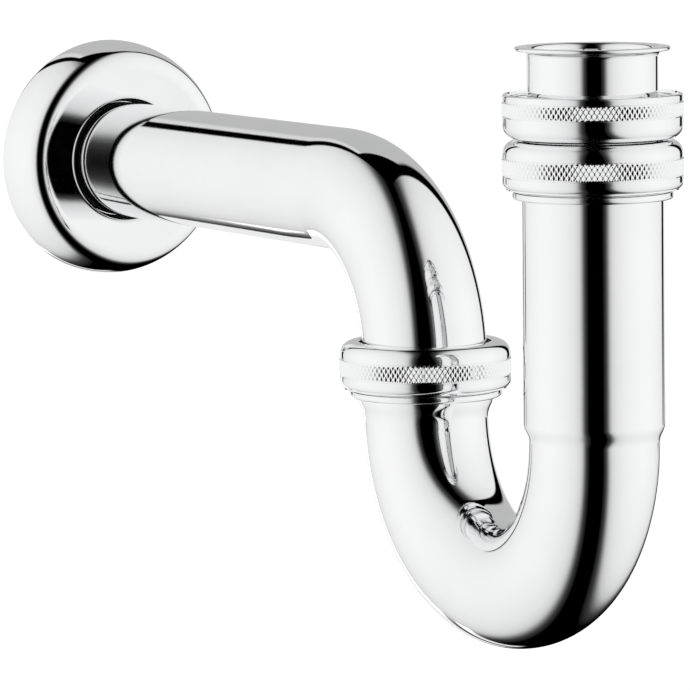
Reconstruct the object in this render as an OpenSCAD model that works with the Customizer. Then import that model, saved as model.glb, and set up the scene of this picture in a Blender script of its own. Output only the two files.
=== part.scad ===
// Tubular P trap for a 1 1/4 in wash-basin waste, made of 32 mm chromed brass tube.
// The origin is the centre of the tube's wall end. +X comes out of the wall and +Z is up.

/* [Tube] */
// Outer diameter of the trap's tube
tube_d = 32; // [31.5:0.1:32.2]
// Wall thickness of the tube
tube_wall = 1; // [0.8:0.1:1.2]
// Length of tube inside the wall
wall_insert = 25; // [15:1:40]
// Distance from the wall to the axis of the outlet joint
wall_to_joint = 175; // [160:1:220]
// Radius of the wall elbow's centreline
elbow_r = 42; // [40:0.5:44]
// Radius of the U bend's centreline, half the distance between its legs
u_r = 40; // [40:1:50]
// Height of the outlet tube's axis above the centre of the U bend
run_height = 54; // [54:1:58]

/* [Threaded joints] */
// Outer diameter of the three nuts
nut_d = 44; // [44:0.5:48]
// Pitch diameter of the G 1 1/4 thread
thread_d = 40.4; // [40.4:0.1:40.6]
// Height of the two compression nuts
nut_h = 12; // [12:0.1:13]
// Height of the waste union nut
union_nut_h = 10.9; // [10:0.1:14]
// Height of the outlet nut's lower edge above the centre of the U bend
outlet_nut_z = 5.9; // [5.9:0.1:6.2]
// Height of the inlet nut's lower edge above the centre of the U bend
inlet_nut_z = 62.4; // [50:0.1:64]

/* [Inlet] */
// Height of the flange's top above the centre of the U bend
flange_z = 97; // [97:1:120]
// Outer diameter of the flange that seats under the waste
flange_d = 38; // [37:0.5:38.5]
// Length of the telescopic inlet tube
inlet_length = 81; // [70:1:81]

/* [Wall rosette] */
// Outer diameter of the rosette
rosette_d = 66.4; // [60:0.2:80]
// How far the rosette stands off the wall
rosette_h = 13.9; // [13:0.1:15]
// Thickness of the rosette's sheet
sheet = 0.9; // [0.6:0.1:1]

/* [Hidden] */
$fn = 96;

tube_r = tube_d / 2;
bore_r = tube_r - tube_wall;
nut_r = nut_d / 2;
thread_r = thread_d / 2;

// Places of the two vertical axes and of the U bend's centre
joint_x = wall_insert + wall_to_joint;
inlet_x = joint_x + 2 * u_r;
bend_z = -run_height;

// Gaps between the plain thread cylinders, moving faces, seals and soldered sleeves
thread_gap = 0.15;
slide_gap = 0.3;
seal_gap = 0.1;
solder_gap = 0.05;

// The U bend's widened ends, which sleeve over a tube
sleeve_r = tube_r + tube_wall + slide_gap;
sleeve_bore_r = sleeve_r - tube_wall;
flare_h = 3.2;
neck_z = 0.8;
neck_h = 4.2;
sleeve_top = 4.9;
tail_z = flare_h + slide_gap;

// Levels of a threaded joint, measured from its nut's lower edge
collar_r = 19.6;
collar_bottom = -2.4;
collar_top = -0.3;
collar_round = 0.8;
relief_r = 18.9;
thread_bottom = 0.4;
thread_top = 7.3;
seat_r = 19;
seal_bottom = 5.4;
seal_step = 7.4;
seal_r = 19.1;
ring_h = 1.2;
ring_r = 19.3;
nut_lip = 2;
ring_bottom = nut_h - nut_lip - slide_gap - ring_h;

// Nut details
lip_bore_r = tube_r + 1;
nut_round = 1.9;
dome_r = 3.4;
knurl_z = 3.4;
knurl_h = 4.2;
knurl_proud = 0.2;
union_knurl_z = 5.6;
union_knurl_h = 3.4;
union_rim_round = 0.6;

// Inlet tube details
flange_h = 1;
flange_fillet = 1.5;

// Rosette details: rounds of the rim, the edge and the mouth. Between the last two a shallow
// dish falls towards the tube. Angles turn from the rim (0) towards the top (90).
rim_round = 24;
edge_round = 5.5;
mouth_round = 1.5;
edge_angle = asin((rosette_h - edge_round) / (rim_round - edge_round));
dish_angle = 95;
mouth_r = tube_r + 0.9;
mouth_back = 9;

// The grip ring, its groove and the neck round it
grip_cord_r = 0.8;
grip_centre_r = tube_r + seal_gap + grip_cord_r;
grip_z = 7.5;
groove_half = grip_cord_r + solder_gap;
groove_r = grip_centre_r + groove_half;
neck_r = groove_r + sheet;
neck_back = 5.6;

function polar(r, a) = r * [cos(a), sin(a)];

rim_centre = [rosette_d / 2 - rim_round, 0];
edge_centre = rim_centre + polar(rim_round - edge_round, edge_angle);
mouth_x = mouth_r + mouth_round;
dish_fall = (edge_centre[0] - mouth_x) * cos(dish_angle);
mouth_z = edge_centre[1] + (edge_round - mouth_round + dish_fall) / sin(dish_angle);
mouth_centre = [mouth_x, mouth_z];

// Moves a stack to a height above the U bend's centre on a vertical axis
module on_axis(x, z) {
    translate([x, 0, bend_z + z]) children();
}

// Turns a shape that stands up on Z so that it points out of the wall
module out_of_wall(x) {
    translate([x, 0, 0]) rotate([0, 90, 0]) children();
}

module ring(r_out, r_in, h) {
    rotate_extrude() translate([r_in, 0]) square([r_out - r_in, h]);
}

// Bent tube in the XZ plane, from one angle through a sweep
module bent_tube(centre_r, start, sweep) {
    rotate([90, 0, 0])
        rotate([0, 0, start])
            rotate_extrude(angle = sweep)
                translate([centre_r, 0])
                    difference() {
                        circle(r = tube_r);
                        circle(r = bore_r);
                    }
}

// Vertical tube end that widens to a sleeve between z0 and z1 and stops at the top
module sleeve_end(z0, z1, top) {
    rotate_extrude()
        polygon([
            [bore_r, 0], [tube_r, 0], [tube_r, z0], [sleeve_r, z1], [sleeve_r, top],
            [sleeve_bore_r, top], [sleeve_bore_r, z1], [bore_r, z0],
        ]);
}

// Outer half section of a nut, with a rounded lower edge and a domed upper one
module nut_outline(h, low_round, high_round, band_z, band_h) {
    translate([0, low_round]) square([nut_r, h - low_round - high_round]);
    square([nut_r - low_round, h / 2]);
    translate([0, h / 2]) square([nut_r - high_round, h / 2]);
    translate([nut_r - low_round, low_round]) circle(r = low_round);
    translate([nut_r - high_round, h - high_round]) circle(r = high_round);
    translate([0, band_z]) square([nut_r + knurl_proud, band_h]);
}

// Nut with its lip on top: the bore clears the tube and the cavity holds the thread
module nut(h, low_round, high_round, band_z, band_h) {
    rotate_extrude()
        difference() {
            nut_outline(h, low_round, high_round, band_z, band_h);
            square([thread_r + thread_gap, h - nut_lip]);
            square([lip_bore_r, h]);
        }
}

module compression_nut() {
    nut(nut_h, nut_round, dome_r, knurl_z, knurl_h);
}

// Loose washer that lets the nut turn without dragging the seal
module slip_ring() {
    translate([0, 0, ring_bottom]) ring(ring_r, tube_r + slide_gap, ring_h);
}

// Rubber wedge pressed between the tube and the socket's cone
module wedge_seal() {
    inner = tube_r + seal_gap;
    rotate_extrude()
        polygon([
            [inner, seal_bottom], [sleeve_r - seal_gap, seal_bottom],
            [seat_r - seal_gap, seal_step], [seal_r, seal_step],
            [seal_r, ring_bottom], [inner, ring_bottom],
        ]);
}

// Turned socket soldered over the sleeve: visible collar, male thread and inner cone
module threaded_socket() {
    bore = sleeve_r + solder_gap;
    rotate_extrude()
        difference() {
            union() {
                translate([0, collar_bottom]) square([collar_r - collar_round, collar_top - collar_bottom]);
                translate([0, collar_bottom + collar_round])
                    square([collar_r, collar_top - collar_bottom - 2 * collar_round]);
                for (z = [collar_bottom + collar_round, collar_top - collar_round])
                    translate([collar_r - collar_round, z]) circle(r = collar_round);
                translate([0, collar_top - collar_round])
                    square([relief_r, thread_bottom - collar_top + 2 * collar_round]);
                translate([0, thread_bottom])
                    square([thread_r - thread_gap, thread_top - thread_bottom]);
            }
            polygon([
                [0, collar_bottom - 1], [bore, collar_bottom - 1], [bore, seal_bottom],
                [seat_r, thread_top], [seat_r, thread_top + 1], [0, thread_top + 1],
            ]);
        }
}

module outlet_elbow() {
    color("gainsboro") {
        out_of_wall(0) ring(tube_r, bore_r, joint_x - elbow_r);
        translate([joint_x - elbow_r, 0, -elbow_r]) bent_tube(elbow_r, 0, 90);
        on_axis(joint_x, tail_z) ring(tube_r, bore_r, run_height - elbow_r - tail_z);
    }
}

// Slice of a circle between two angles
module slice(r, start, end) {
    intersection() {
        circle(r = r);
        polygon([[0, 0], 2 * r * [cos(start), sin(start)], 2 * r * [cos(end), sin(end)]]);
    }
}

// Half section of the rosette's face, moved inward by a thickness. Its pieces overlap.
module rosette_face(inset) {
    in_rim = rim_centre + polar(rim_round / 2, edge_angle / 2);
    in_edge = edge_centre + polar(edge_round / 2, (edge_angle + dish_angle) / 2);
    dish_top = edge_centre + polar(edge_round - inset, dish_angle);
    mouth_top = mouth_centre + polar(mouth_round - inset, dish_angle);
    translate(rim_centre) slice(rim_round - inset, 0, edge_angle);
    translate(edge_centre) slice(edge_round - inset, edge_angle / 2, dish_angle);
    polygon([
        [0, 0], [rosette_d / 2 - inset, 0], in_rim, in_edge, dish_top, mouth_top,
        [0, mouth_top[1]],
    ]);
}

// Pressed cup: rounded rim, dished face and a neck that holds the grip ring round the tube
module wall_rosette() {
    mouth_edge = mouth_x + mouth_round * cos(dish_angle);
    color("gainsboro")
        out_of_wall(wall_insert)
            rotate_extrude()
                difference() {
                    rosette_face(0);
                    difference() {
                        rosette_face(sheet);
                        translate([0, neck_back]) square([neck_r, rosette_h]);
                    }
                    square([tube_r + slide_gap, rosette_h]);
                    translate([0, grip_z - groove_half]) square([groove_r, 2 * groove_half]);
                    translate([0, mouth_back]) square([mouth_r, rosette_h]);
                    difference() {
                        translate([0, mouth_z]) square([mouth_edge, rosette_h]);
                        translate(mouth_centre) circle(r = mouth_round);
                    }
                }
}

module rosette_grip_ring() {
    color("dimgray")
        out_of_wall(wall_insert + grip_z)
            rotate_extrude() translate([grip_centre_r, 0]) circle(r = grip_cord_r);
}

module outlet_compression_nut() {
    color("gainsboro") on_axis(joint_x, outlet_nut_z) compression_nut();
}

module outlet_slip_ring() {
    color("white") on_axis(joint_x, outlet_nut_z) slip_ring();
}

module outlet_seal() {
    color("dimgray") on_axis(joint_x, outlet_nut_z) wedge_seal();
}

module outlet_threaded_socket() {
    color("gainsboro") on_axis(joint_x, outlet_nut_z) threaded_socket();
}

module u_bend() {
    color("gainsboro") {
        translate([joint_x + u_r, 0, bend_z]) bent_tube(u_r, 180, 180);
        on_axis(joint_x, 0) sleeve_end(0, flare_h, outlet_nut_z + sleeve_top);
        on_axis(inlet_x, 0) sleeve_end(neck_z, neck_z + neck_h, inlet_nut_z + sleeve_top);
    }
}

module inlet_threaded_socket() {
    color("gainsboro") on_axis(inlet_x, inlet_nut_z) threaded_socket();
}

module inlet_seal() {
    color("dimgray") on_axis(inlet_x, inlet_nut_z) wedge_seal();
}

module inlet_slip_ring() {
    color("white") on_axis(inlet_x, inlet_nut_z) slip_ring();
}

module inlet_compression_nut() {
    color("gainsboro") on_axis(inlet_x, inlet_nut_z) compression_nut();
}

// Telescopic tube with the flange that the waste's union nut pulls up
module inlet_tailpiece() {
    flange_under = inlet_length - flange_h;
    color("gainsboro")
        on_axis(inlet_x, flange_z - inlet_length) {
            ring(tube_r, bore_r, inlet_length);
            translate([0, 0, flange_under]) ring(flange_d / 2, tube_r, flange_h);
            rotate_extrude()
                difference() {
                    translate([tube_r, flange_under - flange_fillet])
                        square([flange_fillet, flange_fillet]);
                    translate([tube_r + flange_fillet, flange_under - flange_fillet])
                        circle(r = flange_fillet);
                }
        }
}

// Union nut turned over: its lip is below and it opens upward to the waste's thread
module waste_union_nut() {
    color("gainsboro")
        on_axis(inlet_x, inlet_nut_z + nut_h + slide_gap + union_nut_h)
            mirror([0, 0, 1])
                nut(union_nut_h, union_rim_round, dome_r, union_nut_h - union_knurl_z - union_knurl_h,
                    union_knurl_h);
}

outlet_elbow();
wall_rosette();
rosette_grip_ring();
outlet_compression_nut();
outlet_slip_ring();
outlet_seal();
outlet_threaded_socket();
u_bend();
inlet_threaded_socket();
inlet_seal();
inlet_slip_ring();
inlet_compression_nut();
inlet_tailpiece();
waste_union_nut();
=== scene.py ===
"""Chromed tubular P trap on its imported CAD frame: detailed pieces, studio light and camera."""
import math

import bmesh
import bpy
from mathutils import Matrix, Vector


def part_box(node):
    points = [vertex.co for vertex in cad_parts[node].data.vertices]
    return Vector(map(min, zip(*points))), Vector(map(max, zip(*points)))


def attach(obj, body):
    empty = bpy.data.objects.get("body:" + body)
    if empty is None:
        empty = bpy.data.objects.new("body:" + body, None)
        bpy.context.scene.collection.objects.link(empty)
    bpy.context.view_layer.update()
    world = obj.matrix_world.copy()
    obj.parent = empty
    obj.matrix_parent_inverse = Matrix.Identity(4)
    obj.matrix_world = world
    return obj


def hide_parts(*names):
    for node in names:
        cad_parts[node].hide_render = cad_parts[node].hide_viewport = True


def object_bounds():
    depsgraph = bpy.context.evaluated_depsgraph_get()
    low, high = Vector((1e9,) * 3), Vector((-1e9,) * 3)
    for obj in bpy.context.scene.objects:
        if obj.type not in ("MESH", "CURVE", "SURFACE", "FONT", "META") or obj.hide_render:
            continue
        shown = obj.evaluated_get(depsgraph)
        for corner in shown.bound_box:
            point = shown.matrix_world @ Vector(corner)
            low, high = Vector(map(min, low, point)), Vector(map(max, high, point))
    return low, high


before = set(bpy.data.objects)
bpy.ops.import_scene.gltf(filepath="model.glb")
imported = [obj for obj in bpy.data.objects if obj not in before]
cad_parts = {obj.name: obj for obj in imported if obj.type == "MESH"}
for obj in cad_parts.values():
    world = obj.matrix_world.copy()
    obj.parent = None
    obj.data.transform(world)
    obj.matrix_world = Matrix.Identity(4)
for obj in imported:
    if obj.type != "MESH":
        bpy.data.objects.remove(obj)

CAD_LOW, CAD_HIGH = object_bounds()
MM = 0.001

# ---------------------------------------------------------------- sizes, in millimetres
TUBE_R = 16.0
WALL = 1.0
SLEEVE_R = 17.3
NUT_R = 22.0
NUT_H = 12.0
LIP = 2.0
LIP_BORE_R = 17.0
ELBOW_R = 42.0
U_R = 40.0
THREAD_PITCH = 2.309
MALE_ROOT_R, MALE_CREST_R = 19.45, 20.85
FEMALE_CREST_R, FEMALE_ROOT_R = 19.62, 21.02
KNURL_COUNT = 108
KNURL_ROW = 1.05
KNURL_DEPTH = 0.32
KNURL_INSET = 0.12
# rows of points along one pitch of a thread
THREAD_STEPS = 14
# heights above a nut's lower edge: top of the U bend's sleeve, both ends of the seal
SLEEVE_TOP = 4.9
SEAL_LOW = 5.4
SEAL_HIGH = 8.5
# height of the outlet nut's lower edge above the centre of the U bend
NUT_ABOVE_BEND = 5.9
ROUND_STEPS = 10
TURN_STEPS = 168


def low(node):
    """Lowest corner of a CAD node, in millimetres."""
    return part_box(node)[0] / MM


def high(node):
    """Highest corner of a CAD node, in millimetres."""
    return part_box(node)[1] / MM


def middle(node):
    return (low(node) + high(node)) / 2


JOINT_X = middle("outlet_compression_nut").x
INLET_X = middle("inlet_compression_nut").x
OUTLET_NUT_Z = low("outlet_compression_nut").z
INLET_NUT_Z = low("inlet_compression_nut").z
BEND_Z = OUTLET_NUT_Z - NUT_ABOVE_BEND
WALL_X = low("wall_rosette").x
FLANGE_Z = high("inlet_tailpiece").z


# ---------------------------------------------------------------- outlines and meshes
def arc(x, y, r, start, end, steps=ROUND_STEPS):
    """Points of an arc, angles in degrees."""
    angles = [math.radians(start + (end - start) * i / steps) for i in range(steps + 1)]
    return [(x + r * math.cos(a), y + r * math.sin(a)) for a in angles]


def spread(a, b, count):
    """Points along a straight line, both ends included."""
    return [(a[0] + (b[0] - a[0]) * i / count, a[1] + (b[1] - a[1]) * i / count)
            for i in range(count + 1)]


def finish_mesh(name, bm, materials, sharp_degrees=32):
    """Turns a bmesh in millimetres into a smooth-shaded object."""
    bmesh.ops.remove_doubles(bm, verts=bm.verts, dist=0.0005)
    bmesh.ops.recalc_face_normals(bm, faces=bm.faces)
    bmesh.ops.scale(bm, vec=(MM, MM, MM), verts=bm.verts)
    mesh = bpy.data.meshes.new(name)
    bm.to_mesh(mesh)
    bm.free()
    for polygon in mesh.polygons:
        polygon.use_smooth = True
    mesh.set_sharp_from_angle(angle=math.radians(sharp_degrees))
    for material in materials:
        mesh.materials.append(material)
    piece = bpy.data.objects.new(name, mesh)
    bpy.context.scene.collection.objects.link(piece)
    return piece


def loft(name, rings, materials, closed=True, inner_from=None):
    """Skins a list of rings of equal length. Rings from index inner_from take the second material."""
    bm = bmesh.new()
    rows = [[bm.verts.new(p) for p in ring] for ring in rings]
    count = len(rings[0])
    last = len(rows) if closed else len(rows) - 1
    for i in range(last):
        a, b = rows[i], rows[(i + 1) % len(rows)]
        for j in range(count):
            face = bm.faces.new((a[j], a[(j + 1) % count], b[(j + 1) % count], b[j]))
            if inner_from is not None and i >= inner_from:
                face.material_index = 1
    return finish_mesh(name, bm, materials)


def revolve(name, outline, place, materials, steps=TURN_STEPS, shift=None, inner_from=None):
    """Turns a closed (radius, height) outline about a vertical axis.

    shift(angle, r, h) gives a small change of radius, for knurls and threads.
    """
    rings = []
    for r, h in outline:
        ring = []
        for j in range(steps):
            angle = 2 * math.pi * j / steps
            radius = r + (shift(angle, r, h) if shift else 0)
            ring.append(place @ Vector((radius * math.cos(angle), radius * math.sin(angle), h)))
        rings.append(ring)
    return loft(name, rings, materials, inner_from=inner_from)


def upright(x, z):
    return Matrix.Translation((x, 0, z))


def upside_down(x, z):
    return Matrix.Translation((x, 0, z)) @ Matrix.Rotation(math.pi, 4, "X")


def out_of_wall(x):
    return Matrix.Translation((x, 0, 0)) @ Matrix.Rotation(math.pi / 2, 4, "Y")


class Route:
    """Centreline in the XZ plane made of straight and bent stretches."""

    def __init__(self, start, heading):
        self.stretches = []
        self.end = Vector((start[0], start[1]))
        self.heading = heading
        self.length = 0.0

    def straight(self, length):
        self.stretches.append((self.length, length, self.end.copy(), self.heading, 0.0))
        self.end += Vector((math.cos(self.heading), math.sin(self.heading))) * length
        self.length += length
        return self

    def bend(self, radius, turn):
        """turn is in radians, positive from +X towards +Z."""
        self.stretches.append((self.length, radius * abs(turn), self.end.copy(), self.heading, turn))
        side = math.copysign(1, turn)
        left = Vector((-math.sin(self.heading), math.cos(self.heading))) * side * radius
        centre = self.end + left
        self.end = centre + Matrix.Rotation(turn, 2) @ (-left)
        self.heading += turn
        self.length += radius * abs(turn)
        return self

    def at(self, s):
        """Point and heading at a distance along the route."""
        for begin, length, point, heading, turn in self.stretches:
            if s <= begin + length or (begin, length) == self.stretches[-1][:2]:
                t = s - begin
                if turn == 0:
                    return point + Vector((math.cos(heading), math.sin(heading))) * t, heading
                radius = length / abs(turn)
                angle = turn * t / length
                side = math.copysign(1, turn)
                left = Vector((-math.sin(heading), math.cos(heading))) * side * radius
                return point + left + Matrix.Rotation(angle, 2) @ (-left), heading + angle


def tube(name, route, outline, materials, inner_from, steps=TURN_STEPS, shift=None):
    """Sweeps a closed (distance along, radius) outline round a route."""
    rings = []
    for s, r in outline:
        point, heading = route.at(s)
        normal = Vector((-math.sin(heading), 0, math.cos(heading)))
        ring = []
        for j in range(steps):
            angle = 2 * math.pi * j / steps
            radius = r + (shift(s, angle, r) if shift else 0)
            ring.append(Vector((point.x, 0, point.y))
                        + (normal * math.cos(angle) + Vector((0, 1, 0)) * math.sin(angle)) * radius)
        rings.append(ring)
    return loft(name, rings, materials, inner_from=inner_from)


def stations(lengths, fine=1.4):
    """Distances along a route, close together in bends. lengths is [(length, bent)]."""
    marks, s = [0.0], 0.0
    for length, bent in lengths:
        count = max(1, round(length / fine)) if bent else max(2, round(length / 12))
        marks += [s + length * (i + 1) / count for i in range(count)]
        s += length
    return marks


# ---------------------------------------------------------------- materials
def new_material(name):
    material = bpy.data.materials.new(name)
    material.use_nodes = True
    tree = material.node_tree
    return material, tree, tree.nodes["Principled BSDF"]


def noise(tree, scale, detail=3.0, roughness=0.55):
    """Noise in the piece's own coordinates."""
    place = tree.nodes.new("ShaderNodeTexCoord")
    texture = tree.nodes.new("ShaderNodeTexNoise")
    texture.inputs["Scale"].default_value = scale
    texture.inputs["Detail"].default_value = detail
    texture.inputs["Roughness"].default_value = roughness
    tree.links.new(place.outputs["Object"], texture.inputs["Vector"])
    return texture.outputs["Fac"]


def ramp(tree, factor, low_value, high_value, start=0.35, end=0.65):
    """Maps a factor to a range of numbers."""
    node = tree.nodes.new("ShaderNodeMapRange")
    node.inputs["From Min"].default_value = start
    node.inputs["From Max"].default_value = end
    node.inputs["To Min"].default_value = low_value
    node.inputs["To Max"].default_value = high_value
    tree.links.new(factor, node.inputs["Value"])
    return node.outputs["Result"]


def tint(tree, factor, first, second, start=0.35, end=0.65):
    """Colour that runs between two tints."""
    node = tree.nodes.new("ShaderNodeValToRGB")
    node.color_ramp.elements[0].position = start
    node.color_ramp.elements[0].color = (*first, 1)
    node.color_ramp.elements[1].position = end
    node.color_ramp.elements[1].color = (*second, 1)
    tree.links.new(factor, node.inputs["Fac"])
    return node.outputs["Color"]


def bump(tree, shader, height, strength, distance):
    node = tree.nodes.new("ShaderNodeBump")
    node.inputs["Strength"].default_value = strength
    node.inputs["Distance"].default_value = distance
    tree.links.new(height, node.inputs["Height"])
    tree.links.new(node.outputs["Normal"], shader.inputs["Normal"])


def chrome(name, polish=0.03, haze=0.02, ripple=0.012):
    """Polished chrome plate: faint haze and the soft ripple left by buffing."""
    material, tree, shader = new_material(name)
    shader.inputs["Metallic"].default_value = 1.0
    cloud = noise(tree, 55, 4)
    tree.links.new(tint(tree, cloud, (0.905, 0.91, 0.915), (0.93, 0.932, 0.935)),
                   shader.inputs["Base Color"])
    tree.links.new(ramp(tree, noise(tree, 130, 5), polish, polish + haze), shader.inputs["Roughness"])
    bump(tree, shader, noise(tree, 240, 2), ripple, 0.0004)
    return material


def raw_brass(name):
    """Unplated inside of the tube: dull brass with brown tarnish and drawing marks."""
    material, tree, shader = new_material(name)
    shader.inputs["Metallic"].default_value = 1.0
    tree.links.new(tint(tree, noise(tree, 70, 6), (0.42, 0.30, 0.15), (0.62, 0.48, 0.25)),
                   shader.inputs["Base Color"])
    tree.links.new(ramp(tree, noise(tree, 160, 4), 0.32, 0.5), shader.inputs["Roughness"])
    bump(tree, shader, noise(tree, 900, 3), 0.15, 0.0003)
    return material


def painted_shade_inside(name):
    """Unplated back of the pressed rosette: dull, coloured near black as painted shade for the dark gap
    round the tube.
    """
    material, tree, shader = new_material(name)
    shader.inputs["Metallic"].default_value = 0.6
    tree.links.new(tint(tree, noise(tree, 80, 5), (0.02, 0.019, 0.018), (0.05, 0.047, 0.042)),
                   shader.inputs["Base Color"])
    tree.links.new(ramp(tree, noise(tree, 170, 4), 0.45, 0.65), shader.inputs["Roughness"])
    bump(tree, shader, noise(tree, 1100, 3), 0.15, 0.0002)
    return material


def rubber(name):
    """Moulded black rubber with a fine grain and a little bloom."""
    material, tree, shader = new_material(name)
    tree.links.new(tint(tree, noise(tree, 90, 5), (0.012, 0.012, 0.013), (0.035, 0.035, 0.036)),
                   shader.inputs["Base Color"])
    tree.links.new(ramp(tree, noise(tree, 220, 4), 0.55, 0.75), shader.inputs["Roughness"])
    bump(tree, shader, noise(tree, 1600, 3), 0.2, 0.0002)
    return material


def nylon(name):
    """Natural white nylon, slightly cloudy."""
    material, tree, shader = new_material(name)
    tree.links.new(tint(tree, noise(tree, 60, 3), (0.72, 0.71, 0.67), (0.82, 0.81, 0.78)),
                   shader.inputs["Base Color"])
    tree.links.new(ramp(tree, noise(tree, 300, 3), 0.35, 0.5), shader.inputs["Roughness"])
    shader.inputs["Subsurface Weight"].default_value = 0.15
    shader.inputs["Subsurface Radius"].default_value = (0.002, 0.002, 0.0015)
    bump(tree, shader, noise(tree, 1200, 2), 0.08, 0.0002)
    return material


TUBE_CHROME = chrome("chrome_tube_finish")
NUT_CHROME = chrome("chrome_nut_finish", polish=0.04, haze=0.02)
SOCKET_CHROME = chrome("chrome_socket_finish", polish=0.05, haze=0.03)
ROSETTE_CHROME = chrome("chrome_rosette_finish", polish=0.03, haze=0.015)
BRASS = raw_brass("raw_brass_inside")
# near-black painted shade for the back of the rosette and the gap at its mouth
ROSETTE_BACK_SHADE = painted_shade_inside("rosette_back_painted_shade")
RUBBER = rubber("seal_rubber_finish")
NYLON = nylon("slip_ring_nylon")


def place_piece(piece, body, slot, *nodes):
    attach(piece, body)
    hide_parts(*nodes)
    return piece


# ---------------------------------------------------------------- tubes
def rim(s, outer_r, inner_r, facing):
    """Rounded end of a tube's wall, from its outside to its inside. facing is +1 or -1 along the route."""
    mid, r = (outer_r + inner_r) / 2, (outer_r - inner_r) / 2
    return [(s + facing * (r * math.sin(a) - r), mid + r * math.cos(a))
            for a in [math.pi * i / 8 for i in range(9)]]


def make_elbow():
    """One tube from the wall end to the tail inside the middle joint, with a bent corner."""
    tail_z = low("outlet_elbow").z
    run = JOINT_X - ELBOW_R
    bend = ELBOW_R * math.pi / 2
    tail = -ELBOW_R - tail_z
    route = Route((0, 0), 0).straight(run).bend(ELBOW_R, -math.pi / 2).straight(tail)
    marks = stations([(run, False), (bend, True), (tail, False)])
    whole = run + bend + tail
    inner_r = TUBE_R - WALL
    outside = [(s, TUBE_R) for s in marks if 0.5 < s < whole - 0.5]
    inside = [(s, inner_r) for s in reversed(marks) if 0.5 < s < whole - 0.5]
    end = rim(whole, TUBE_R, inner_r, 1)
    start = list(reversed(rim(0, TUBE_R, inner_r, -1)))

    def wrinkle(s, angle, r):
        """Faint bending marks at the start of the bend, on its inner side."""
        if r < TUBE_R:
            return 0
        inner_side = max(0.0, -math.cos(angle)) ** 2
        near = math.exp(-((s - run - 3) / 4.5) ** 2)
        return 0.035 * inner_side * near * math.sin((s - run) * 1.3)

    outline = outside + end + inside + start
    piece = tube("wall_elbow_tube", route, outline, [TUBE_CHROME, BRASS],
                 inner_from=len(outside) + len(end) - 1, shift=wrinkle)
    place_piece(piece, "elbow", "chrome_tube", "outlet_elbow")


def make_u_bend():
    """U-bent tube: wide inlet leg, neck, half circle, and a flare under the middle joint."""
    inlet_top = INLET_NUT_Z + SLEEVE_TOP - BEND_Z
    outlet_top = OUTLET_NUT_Z + SLEEVE_TOP - BEND_Z
    neck_low, neck_high, flare_high = 0.8, 5.0, 3.2
    bend = U_R * math.pi
    whole = inlet_top + bend + outlet_top
    route = (Route((INLET_X, BEND_Z + inlet_top), -math.pi / 2)
             .straight(inlet_top).bend(U_R, -math.pi).straight(outlet_top))

    def ease(x):
        x = min(max(x, 0.0), 1.0)
        return x * x * (3 - 2 * x)

    def outer_r(s):
        if s < inlet_top:
            height = inlet_top - s
            return TUBE_R + (SLEEVE_R - TUBE_R) * ease((height - neck_low) / (neck_high - neck_low))
        height = s - inlet_top - bend
        return TUBE_R + (SLEEVE_R - TUBE_R) * ease((height + 1.5) / (flare_high + 1.5))

    marks = [s for s, _ in spread((0.6, 0), (inlet_top - neck_high - 1.5, 0), 8)]
    marks += [s for s, _ in spread((inlet_top - neck_high - 1, 0), (inlet_top, 0), 22)]
    marks += [inlet_top + bend * i / 90 for i in range(1, 91)]
    marks += [s for s, _ in spread((inlet_top + bend + 0.2, 0), (inlet_top + bend + flare_high, 0), 14)]
    marks += [s for s, _ in spread((inlet_top + bend + flare_high + 0.4, 0), (whole - 0.6, 0), 4)]
    outside = [(s, outer_r(s)) for s in marks]
    inside = [(s, outer_r(s) - WALL) for s in reversed(marks)]
    end = rim(whole, SLEEVE_R, SLEEVE_R - WALL, 1)
    start = list(reversed(rim(0, SLEEVE_R, SLEEVE_R - WALL, -1)))
    outline = outside + end + inside + start
    piece = tube("u_bend_tube", route, outline, [TUBE_CHROME, BRASS],
                 inner_from=len(outside) + len(end) - 1)
    place_piece(piece, "lower_trap", "chrome_tube", "u_bend")


def make_tailpiece():
    """Telescopic inlet tube with a rolled flange on top."""
    bottom = low("inlet_tailpiece").z
    length = FLANGE_Z - bottom
    flange_r = high("inlet_tailpiece").x - INLET_X
    inner_r = TUBE_R - WALL
    edge = 0.5
    outline = [(TUBE_R, 0.5)] + [(TUBE_R, h) for h in (20, 40, 60, length - 2.6)]
    outline += arc(TUBE_R + 1.5, length - 2.5, 1.5, 180, 90)
    outline += spread((TUBE_R + 1.6, length - 1), (flange_r - edge - 0.05, length - 1), 2)
    outline += arc(flange_r - edge, length - edge, edge, -90, 90)
    outline += [(inner_r + 1.7, length)]
    outline += arc(inner_r + 1.6, length - 1.6, 1.6, 90, 180)
    outline += [(inner_r, h) for h in (length - 2.6, 60, 40, 20, 0.5)]
    outline += arc(TUBE_R - 0.5, 0.5, 0.5, 180, 360)[1:-1]
    piece = revolve("inlet_tailpiece_tube", outline, upright(INLET_X, bottom), [TUBE_CHROME])
    place_piece(piece, "tailpiece", "chrome_tube", "inlet_tailpiece")


# ---------------------------------------------------------------- nuts
def triangle(x):
    """Triangle wave from 0 to 1 with a period of 1."""
    return 1 - abs(2 * (x - math.floor(x)) - 1)


def knurl(angle, h):
    """Height of a diamond knurl above its grooves, 0 to 1."""
    around = angle / (2 * math.pi) * KNURL_COUNT
    along = h / KNURL_ROW / 2
    return min(triangle(around + along), triangle(around - along))


def thread(angle, h):
    """0 at the thread's root, 1 at its crest, for a right-hand thread with rounded tips."""
    wave = triangle(h / THREAD_PITCH - angle / (2 * math.pi))
    return min(max((wave - 0.08) / 0.84, 0.0), 1.0)


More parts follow.
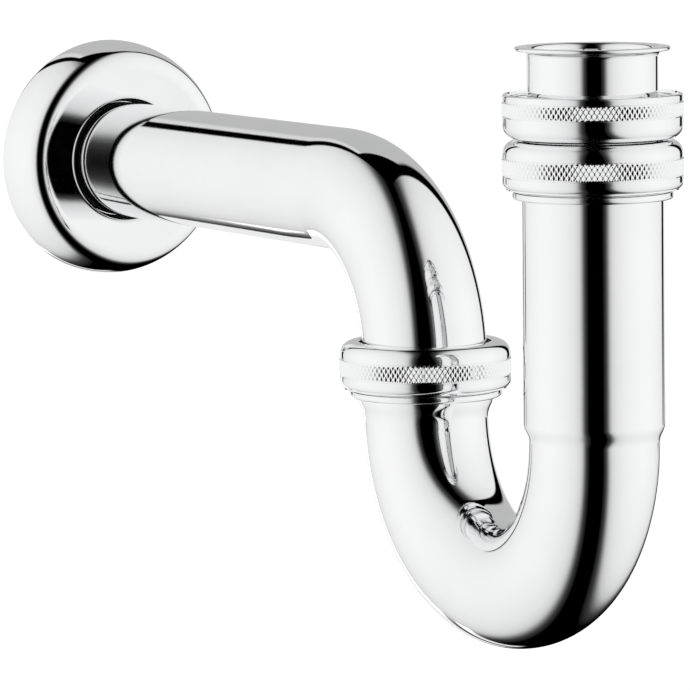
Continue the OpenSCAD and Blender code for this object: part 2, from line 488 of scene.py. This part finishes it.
def make_nut(name, node, body, place, height, low_round, high_round, band_z, band_h):
    """Knurled nut with its lip on top and a cut thread inside."""
    cavity_top = height - LIP
    steps = KNURL_COUNT * 6
    rows = round(band_h / KNURL_ROW * 8)
    outline = arc(NUT_R - low_round, low_round, low_round, -90, 0)
    outline += [(NUT_R, band_z - 0.25), (NUT_R - KNURL_INSET, band_z - 0.1)]
    band = spread((NUT_R - KNURL_INSET, band_z), (NUT_R - KNURL_INSET, band_z + band_h), rows)
    outline += band
    outline += [(NUT_R - KNURL_INSET, band_z + band_h + 0.1), (NUT_R, band_z + band_h + 0.25)]
    outline += arc(NUT_R - high_round, height - high_round, high_round, 0, 90)
    outline += arc(LIP_BORE_R + 0.4, height - 0.4, 0.4, 90, 180, 5)
    outline += [(LIP_BORE_R, cavity_top + 0.2), (LIP_BORE_R + 0.2, cavity_top)]
    relief = cavity_top - 1.0
    outline += [(FEMALE_ROOT_R, cavity_top), (FEMALE_ROOT_R, relief)]
    thread_rows = round((relief - 1.2) / THREAD_PITCH * THREAD_STEPS)
    outline += spread((FEMALE_ROOT_R, relief - 0.05), (FEMALE_ROOT_R, 0.9), thread_rows)
    outline += [(FEMALE_ROOT_R, 0.5), (FEMALE_ROOT_R + 0.15, 0.0)]
    cut_depth = FEMALE_ROOT_R - FEMALE_CREST_R
    flip = -1 if place.to_3x3()[2][2] < 0 else 1

    def shift(angle, r, h):
        if abs(r - (NUT_R - KNURL_INSET)) < 0.01 and band_z - 0.01 <= h <= band_z + band_h + 0.01:
            edge = min(1.0, (h - band_z) / 0.3, (band_z + band_h - h) / 0.3)
            return max(edge, 0.0) * KNURL_DEPTH * knurl(angle, h)
        if abs(r - FEMALE_ROOT_R) < 0.01 and 0.89 < h < relief:
            fade = min(1.0, (h - 0.9) / 0.5, (relief - h) / 0.5)
            return -cut_depth * max(fade, 0.0) * (1 - thread(angle * flip, h * flip))
        return 0

    piece = revolve(name, outline, place, [NUT_CHROME], steps=steps, shift=shift)
    place_piece(piece, body, "chrome_nut", node)


def make_compression_nut(name, node, body, x, z):
    low_round, dome, band_z, band_h = 1.9, 3.4, 3.4, 4.2
    make_nut(name, node, body, upright(x, z), NUT_H, low_round, dome, band_z, band_h)


def make_union_nut():
    """Upper nut, turned over so that it opens upward."""
    top = high("waste_union_nut").z
    height = top - low("waste_union_nut").z
    rim_round, dome, band_h = 0.6, 3.4, 3.4
    band_top = 9.0
    make_nut("waste_union_nut_body", "waste_union_nut", "union_nut", upside_down(INLET_X, top),
             height, rim_round, dome, height - band_top, band_h)


# ---------------------------------------------------------------- sockets and packing
def make_socket(name, node, x, nut_z):
    """Turned socket: rounded collar, male thread and a cone for the seal."""
    bore, collar_r, edge, seat_r = SLEEVE_R + 0.05, 19.6, 0.8, 19.0
    thread_low, thread_high = 0.4, 7.3
    outline = [(bore, -2.2)] + arc(bore + 0.2, -2.2, 0.2, 180, 270, 3)
    outline += arc(collar_r - edge, -2.4 + edge, edge, -90, 0)
    outline += arc(collar_r - edge, -0.3 - edge, edge, 0, 90)
    outline += [(18.9, -0.3), (18.9, thread_low - 0.1)]
    rows = round((thread_high - thread_low) / THREAD_PITCH * THREAD_STEPS)
    outline += spread((MALE_ROOT_R, thread_low), (MALE_ROOT_R, thread_high - 0.3), rows)
    outline += [(seat_r + 0.1, thread_high), (seat_r, thread_high)]
    outline += spread((seat_r - 0.1, thread_high - 0.1), (bore, SEAL_LOW), 3)
    depth = MALE_CREST_R - MALE_ROOT_R

    def shift(angle, r, h):
        if abs(r - MALE_ROOT_R) > 0.01:
            return 0
        fade = min(1.0, (h - thread_low) / 0.7, (thread_high - 0.3 - h) / 0.7)
        return depth * max(fade, 0.0) * thread(angle, h)

    piece = revolve(name, outline, upright(x, nut_z), [SOCKET_CHROME], steps=216, shift=shift)
    place_piece(piece, "lower_trap", "chrome_socket", node)


def make_slip_ring(name, node, body, x, nut_z):
    """Flat plastic ring with chamfered edges and a shallow moulded groove on top."""
    bottom, height, outer, inner, edge = SEAL_HIGH, 1.2, 19.3, 16.3, 0.2
    mid = (outer + inner) / 2
    outline = [(inner + edge, 0), (outer - edge, 0), (outer, edge), (outer, height - edge)]
    outline += [(outer - edge, height), (mid + 0.7, height), (mid + 0.5, height - 0.2)]
    outline += [(mid - 0.5, height - 0.2), (mid - 0.7, height), (inner + edge, height)]
    outline += [(inner, height - edge), (inner, edge)]
    piece = revolve(name, outline, upright(x, nut_z + bottom), [NYLON])
    place_piece(piece, body, "slip_ring_plastic", node)


def make_seal(name, node, body, x, nut_z):
    """Wedge seal with two small lips on its bore."""
    inner, top = 16.1, SEAL_HIGH
    outline = [(inner + 0.15, SEAL_LOW), (SLEEVE_R - 0.25, SEAL_LOW), (SLEEVE_R - 0.1, 5.55)]
    outline += spread((SLEEVE_R - 0.05, 5.62), (18.85, 7.35), 4)
    outline += [(19.05, 7.45), (19.1, 7.6), (19.1, top - 0.15), (18.95, top)]
    outline += [(inner + 0.3, top), (inner + 0.15, top - 0.15)]
    for z in (7.7, 6.5):
        outline += [(inner + 0.35, z + 0.45), (inner, z), (inner + 0.35, z - 0.45)]
    piece = revolve(name, outline, upright(x, nut_z), [RUBBER])
    place_piece(piece, body, "seal_rubber", node)


# ---------------------------------------------------------------- rosette
ROSETTE_RIM_ROUND = 24.0
ROSETTE_EDGE_ROUND = 5.5
ROSETTE_MOUTH_R = 16.9
ROSETTE_MOUTH_ROUND = 1.5
ROSETTE_SHEET = 0.9
# direction of the dish's outward normal, counted from the rim (0) to the top (90)
DISH_ANGLE = 95.0


def polar(r, angle):
    """Point at a radius and an angle in degrees."""
    return Vector((math.cos(math.radians(angle)), math.sin(math.radians(angle)))) * r


def rosette_centres(rim_r, height):
    """Centres of the rim's, the edge's and the mouth's rounds, and the angle between the first two."""
    rim, edge = ROSETTE_RIM_ROUND, ROSETTE_EDGE_ROUND
    edge_angle = math.degrees(math.asin((height - edge) / (rim - edge)))
    rim_centre = Vector((rim_r - rim, 0.0))
    edge_centre = rim_centre + polar(rim - edge, edge_angle)
    mouth_x = ROSETTE_MOUTH_R + ROSETTE_MOUTH_ROUND
    slope = polar(1, DISH_ANGLE)
    fall = (edge_centre.x - mouth_x) * slope.x
    mouth_z = edge_centre.y + (edge - ROSETTE_MOUTH_ROUND + fall) / slope.y
    return rim_centre, edge_centre, Vector((mouth_x, mouth_z)), edge_angle


def rosette_face(rim_r, height, inset):
    """Line from the rim over its rounding and the dish to the mouth, moved inward."""
    rim_centre, edge_centre, mouth_centre, edge_angle = rosette_centres(rim_r, height)
    line = arc(*rim_centre, ROSETTE_RIM_ROUND - inset, 0, edge_angle, 48)
    line += arc(*edge_centre, ROSETTE_EDGE_ROUND - inset, edge_angle, DISH_ANGLE, 60)[1:]
    mouth_top = mouth_centre + polar(ROSETTE_MOUTH_ROUND - inset, DISH_ANGLE)
    line += spread(line[-1], tuple(mouth_top), 12)[1:]
    return line


def make_rosette():
    """Pressed cup in one sheet: rim, rounding, shallow dish and a mouth rolled in round the tube."""
    height = high("wall_rosette").x - WALL_X
    rim_r = high("wall_rosette").z
    sheet, bore, neck_back, mouth_back = ROSETTE_SHEET, TUBE_R + 0.3, 5.6, 9.0
    groove_low, groove_high, groove_r = 6.65, 8.35, 17.75
    neck_r = groove_r + sheet
    face = rosette_face(rim_r, height, 0)
    under = rosette_face(rim_r, height, sheet)
    mouth_centre = rosette_centres(rim_r, height)[2]
    outer = [(rim_r - 0.25, 0.0), (rim_r - 0.06, 0.08)]
    outer += [point for point in face if point[1] > 0.3]
    outer += arc(*mouth_centre, ROSETTE_MOUTH_ROUND, DISH_ANGLE, 180, 20)[1:]
    inner = [(ROSETTE_MOUTH_R, mouth_back + 0.15), (bore + 0.2, mouth_back), (bore, mouth_back - 0.1)]
    inner += [(bore, groove_high), (groove_r - 0.1, groove_high), (groove_r, groove_high - 0.1)]
    inner += [(groove_r, groove_low + 0.1), (groove_r - 0.1, groove_low), (bore, groove_low)]
    inner += [(bore, neck_back + 0.2), (bore + 0.2, neck_back)]
    inner += [(neck_r - 0.2, neck_back), (neck_r, neck_back + 0.2)]
    tail = [point for point in under if point[0] > neck_r]
    inner += [(neck_r, tail[-1][1] - 0.3)]
    inner += list(reversed([point for point in tail if point[1] > 0.6]))
    inner += [(rim_r - sheet, 0.4), (rim_r - sheet + 0.1, 0.08)]
    # the back and the neck bore take the near-black painted shade
    piece = revolve("wall_rosette_cup", outer + inner, out_of_wall(WALL_X),
                    [ROSETTE_CHROME, ROSETTE_BACK_SHADE], steps=240, inner_from=len(outer))
    place_piece(piece, "rosette", "chrome_rosette", "wall_rosette")


def make_grip_ring():
    """Rubber ring behind the neck, with a fine moulding seam round it."""
    x = middle("rosette_grip_ring").x
    cord = (high("rosette_grip_ring").x - low("rosette_grip_ring").x) / 2
    centre = high("rosette_grip_ring").z - cord
    outline = arc(centre, 0, cord, 5, 355, 30)
    outline += [(centre + cord + 0.04, 0)]
    piece = revolve("rosette_grip_o_ring", outline, out_of_wall(x), [RUBBER])
    place_piece(piece, "rosette", "seal_rubber", "rosette_grip_ring")


# ---------------------------------------------------------------- light, floor and camera
CAMERA_AT = (1.34794, -0.68651, 0.11836)
CAMERA_HEADING = math.radians(60)
CAMERA_PITCH = math.radians(-6.634)
CAMERA_ROLL = math.radians(-0.624)
CAMERA_LENS = 273.65


def make_camera():
    data = bpy.data.cameras.new("photo_camera")
    data.sensor_width = 36
    data.lens = CAMERA_LENS
    camera = bpy.data.objects.new("photo_camera", data)
    camera.matrix_world = (Matrix.Translation(CAMERA_AT)
                           @ Matrix.Rotation(CAMERA_HEADING, 4, "Z")
                           @ Matrix.Rotation(math.pi / 2 + CAMERA_PITCH, 4, "X")
                           @ Matrix.Rotation(CAMERA_ROLL, 4, "Z"))
    bpy.context.scene.collection.objects.link(camera)
    bpy.context.scene.camera = camera


class Sums:
    """Short way to write arithmetic with shader nodes."""

    def __init__(self, tree):
        self.tree = tree

    def do(self, operation, *values):
        node = self.tree.nodes.new("ShaderNodeMath")
        node.operation = operation
        for socket, value in zip(node.inputs, values):
            if isinstance(value, (int, float)):
                socket.default_value = value
            else:
                self.tree.links.new(value, socket)
        return node.outputs[0]

    def soft(self, value, start, end):
        """0 below start, 1 above end (or the other way round), smooth between."""
        node = self.tree.nodes.new("ShaderNodeMapRange")
        node.interpolation_type = "SMOOTHSTEP"
        flipped = start > end
        node.inputs["From Min"].default_value = min(start, end)
        node.inputs["From Max"].default_value = max(start, end)
        node.inputs["To Min"].default_value = 1 if flipped else 0
        node.inputs["To Max"].default_value = 0 if flipped else 1
        self.tree.links.new(value, node.inputs["Value"])
        return node.outputs["Result"]

    def dot(self, vector, direction):
        node = self.tree.nodes.new("ShaderNodeVectorMath")
        node.operation = "DOT_PRODUCT"
        node.inputs[1].default_value = direction
        self.tree.links.new(vector, node.inputs[0])
        return node.outputs["Value"]


def make_world():
    """Studio tent: two broad white side panels, a grey panel behind and dark gaps between them."""
    world = bpy.data.worlds.new("studio")
    bpy.context.scene.world = world
    world.use_nodes = True
    tree = world.node_tree
    tree.nodes.clear()
    sums = Sums(tree)
    place = tree.nodes.new("ShaderNodeTexCoord").outputs["Generated"]
    right = Matrix.Rotation(CAMERA_HEADING, 3, "Z") @ Vector((1, 0, 0))
    front = Matrix.Rotation(CAMERA_HEADING, 3, "Z") @ Vector((0, -1, 0))
    s = sums.dot(place, right)
    t = sums.dot(place, front)
    z = sums.dot(place, (0, 0, 1))
    degrees = sums.do("MULTIPLY", sums.do("ARCSINE", s), 57.2958)
    z2 = sums.do("MULTIPLY", z, z)
    left_edge = sums.do("SUBTRACT", sums.do("MULTIPLY", z2, 8), degrees)
    right_edge = sums.do("ADD", degrees, sums.do("ADD", sums.do("MULTIPLY", z, 5.5),
                                                 sums.do("MULTIPLY", z2, 2.5)))
    across = sums.do("DIVIDE", sums.do("MAXIMUM", left_edge, right_edge), 100)
    panels = tree.nodes.new("ShaderNodeValToRGB")
    panels.color_ramp.interpolation = "LINEAR"
    stops = [(0.11, 0.0), (0.14, 0.022), (0.165, 0.05), (0.19, 0.16), (0.215, 0.38), (0.24, 0.6),
             (0.28, 0.74), (0.34, 0.83), (0.46, 0.91), (0.60, 0.96), (0.78, 1.0)]
    elements = panels.color_ramp.elements
    while len(elements) < len(stops):
        elements.new(0.5)
    for element, (position, value) in zip(elements, stops):
        element.position = position
        element.color = (value, value, value, 1)
    tree.links.new(across, panels.inputs["Fac"])
    side = panels.outputs["Color"]

    behind = sums.do("MAXIMUM", sums.do("MULTIPLY", t, -1), 0.0001)
    slope = sums.do("DIVIDE", s, behind)
    at_back = sums.do("LESS_THAN", t, 0)
    # side panels end at upright edges behind the object
    right_gap = sums.do("MULTIPLY", sums.soft(slope, 0.79, 0.72), sums.soft(z, -0.16, -0.1))
    left_gap = sums.do("MULTIPLY", sums.soft(slope, -0.70, -0.64), sums.soft(z, -0.56, -0.5))
    cut = sums.do("MULTIPLY", sums.do("MULTIPLY", right_gap, left_gap), at_back)
    # grey panel behind, with a slanted top
    top = sums.do("ADD", z, sums.do("ADD", sums.do("MULTIPLY", s, 0.64), sums.do("MULTIPLY", t, 1.62)))
    back = sums.do("MULTIPLY", sums.soft(slope, 0.50, 0.42), sums.soft(slope, -0.50, -0.45))
    back = sums.do("MULTIPLY", back, sums.soft(top, 0.02, -0.02))
    # its lower part goes on at the left only, below a narrow dark joint
    joint = sums.do("MULTIPLY", sums.soft(z, -0.485, -0.475), sums.soft(z, -0.42, -0.43))
    lower = sums.do("MULTIPLY", sums.soft(z, -0.56, -0.53), sums.do("SUBTRACT", 1, joint))
    low_edge = sums.do("MAXIMUM", sums.soft(z, -0.16, -0.10),
                       sums.do("MULTIPLY", lower, sums.soft(s, 0.0, -0.04)))
    back = sums.do("MULTIPLY", sums.do("MULTIPLY", back, low_edge), at_back)
    tone = sums.do("ADD", sums.do("MULTIPLY", sums.soft(z, 0.10, -0.06), 0.35), 0.52)
    tone = sums.do("ADD", tone, sums.do("MULTIPLY", sums.soft(slope, -0.30, -0.40), 0.2))

    keep = sums.do("SUBTRACT", 1, cut)
    reflected = tree.nodes.new("ShaderNodeVectorMath")
    reflected.operation = "SCALE"
    tree.links.new(side, reflected.inputs[0])
    tree.links.new(keep, reflected.inputs["Scale"])
    back_light = sums.do("MULTIPLY", back, tone)
    total = tree.nodes.new("ShaderNodeVectorMath")
    total.operation = "ADD"
    tree.links.new(reflected.outputs[0], total.inputs[0])
    tree.links.new(back_light, total.inputs[1])
    glow = tree.nodes.new("ShaderNodeBackground")
    tree.links.new(total.outputs[0], glow.inputs["Color"])
    plain = tree.nodes.new("ShaderNodeBackground")
    plain.inputs["Color"].default_value = (1, 1, 1, 1)
    rays = tree.nodes.new("ShaderNodeLightPath")
    mix = tree.nodes.new("ShaderNodeMixShader")
    tree.links.new(rays.outputs["Is Camera Ray"], mix.inputs["Fac"])
    tree.links.new(glow.outputs[0], mix.inputs[1])
    tree.links.new(plain.outputs[0], mix.inputs[2])
    out = tree.nodes.new("ShaderNodeOutputWorld")
    tree.links.new(mix.outputs[0], out.inputs["Surface"])


def make_floor():
    """Plain pale floor well below the trap, left out of the chrome's reflections."""
    bm = bmesh.new()
    bmesh.ops.create_grid(bm, x_segments=8, y_segments=8, size=9000)
    material, tree, shader = new_material("pale_floor")
    shader.inputs["Roughness"].default_value = 1.0
    shader.inputs["Specular IOR Level"].default_value = 0.0
    shader.inputs["Emission Color"].default_value = (1, 1, 1, 1)
    shader.inputs["Emission Strength"].default_value = 0.55
    tree.links.new(tint(tree, noise(tree, 2, 2), (0.9, 0.9, 0.9), (0.92, 0.92, 0.92)),
                   shader.inputs["Base Color"])
    floor = finish_mesh("pale_floor", bm, [material])
    floor.location.z = (CAD_LOW.z - 0.25)
    floor.visible_glossy = False


def main():
    make_elbow()
    make_u_bend()
    make_tailpiece()
    make_compression_nut("outlet_nut_body", "outlet_compression_nut", "outlet_nut",
                         JOINT_X, OUTLET_NUT_Z)
    make_compression_nut("inlet_nut_body", "inlet_compression_nut", "inlet_nut",
                         INLET_X, INLET_NUT_Z)
    make_union_nut()
    for side, x, z, packing in (("outlet", JOINT_X, OUTLET_NUT_Z, "outlet_packing"),
                                ("inlet", INLET_X, INLET_NUT_Z, "inlet_packing")):
        make_socket(side + "_socket_body", side + "_threaded_socket", x, z)
        make_slip_ring(side + "_nylon_ring", side + "_slip_ring", packing, x, z)
        make_seal(side + "_wedge_seal", side + "_seal", packing, x, z)
    make_rosette()
    make_grip_ring()
    make_world()
    make_floor()
    make_camera()
    bpy.context.scene.view_settings.view_transform = "Standard"


main()
